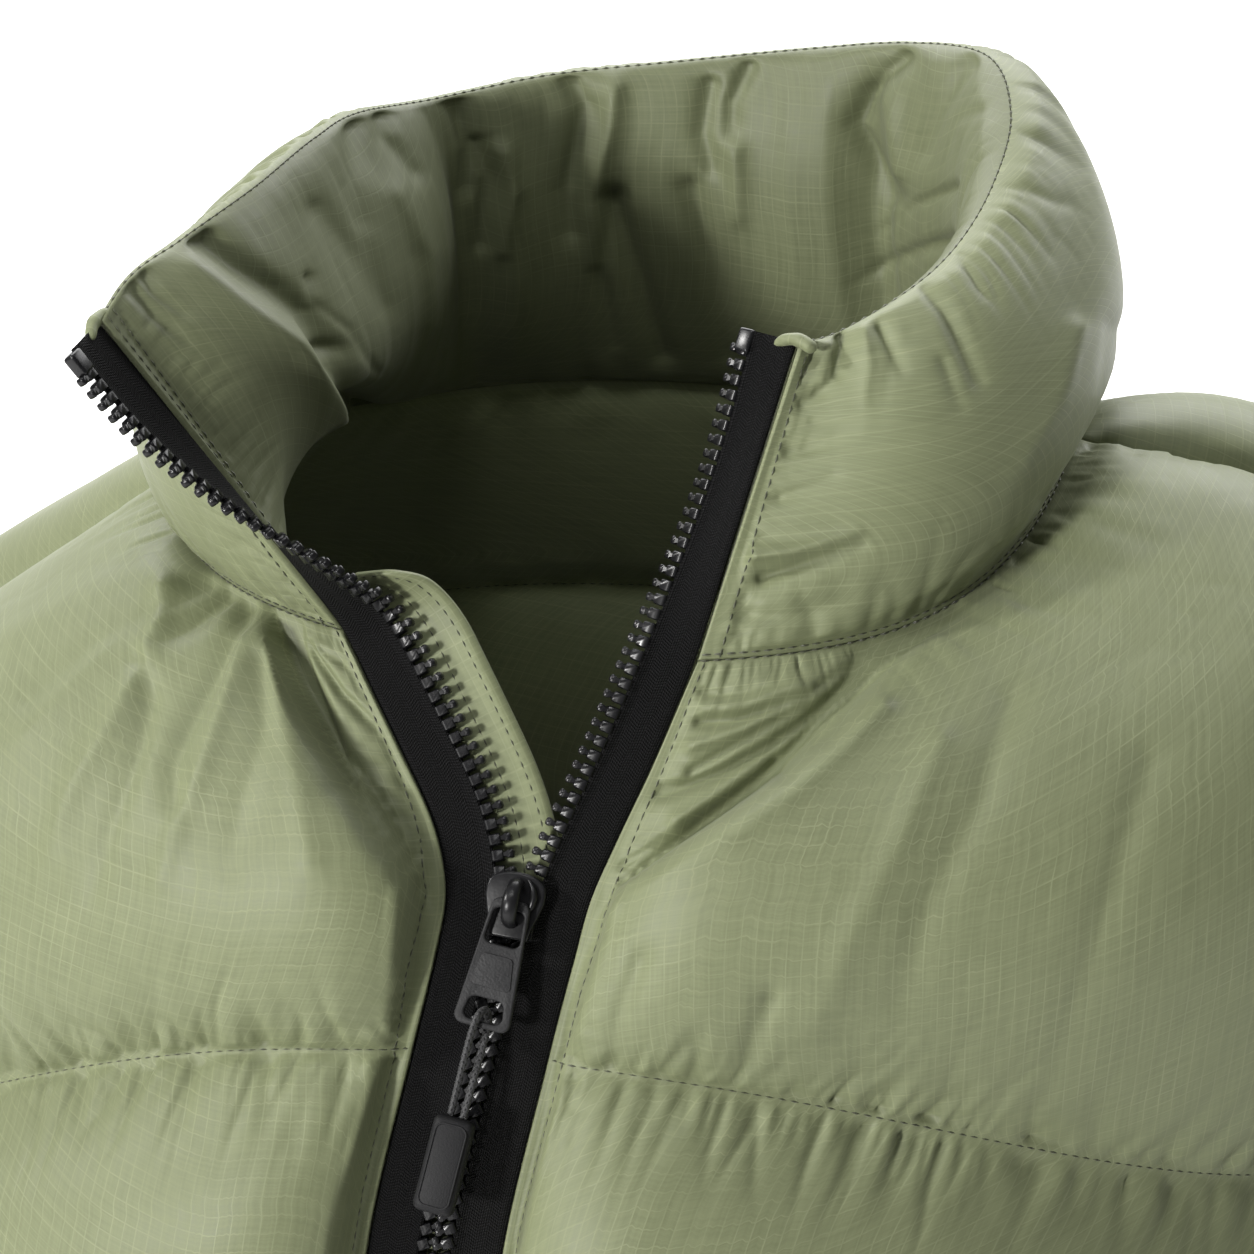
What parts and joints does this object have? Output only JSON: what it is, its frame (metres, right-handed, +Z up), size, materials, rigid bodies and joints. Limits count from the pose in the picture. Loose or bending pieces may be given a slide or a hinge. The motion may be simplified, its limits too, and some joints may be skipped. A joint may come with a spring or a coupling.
{
  "type": "puffer jacket",
  "caption": "Hollow quilted puffer jacket with a padded stand collar, long sleeves and a front zip drawn down to the chest.",
  "frame": {"origin": "middle of the neck opening, at the height of the neck seam, where the wearer's neck holds the jacket", "axes": "+X to the wearer's left, the front faces -Y, +Z up"},
  "size_m": [0.9042, 0.3671, 0.783],
  "materials": {
    "shell": "satin-matt ripstop nylon",
    "lining": "satin-matt ripstop nylon",
    "tape": "woven tape",
    "teeth": "moulded",
    "slider": "satin black",
    "pull": "grained",
    "cord": "braided",
    "pull_rubber": "moulded"
  },
  "bodies": {
    "jacket": {"front_left": "shell", "front_right": "shell", "back": "shell", "sleeve_left": "shell", "sleeve_right": "shell", "collar_outer": "shell", "collar_facing": "lining", "lining_front_left": "lining", "lining_front_right": "lining", "lining_back": "lining", "zip_guard": "lining", "zip_tape_left": "tape", "zip_tape_right": "tape", "zip_chain_left": "teeth", "zip_chain_right": "teeth", "zip_stop_left": "teeth", "zip_stop_right": "teeth", "zip_box": "teeth", "zip_slider": "slider"},
    "pull": {"pull_tab": "pull", "pull_cord": "cord", "pull_end": "pull_rubber"}
  },
  "joints": [
    {"name": "pull_tab_hinge", "type": "hinge", "parent": "jacket", "child": "pull", "pos_m": [-0.003, -0.15544, -0.0472], "axis": [-0.9834, 0.0936, 0.1557], "range_deg": [0, 150]}
  ]
}
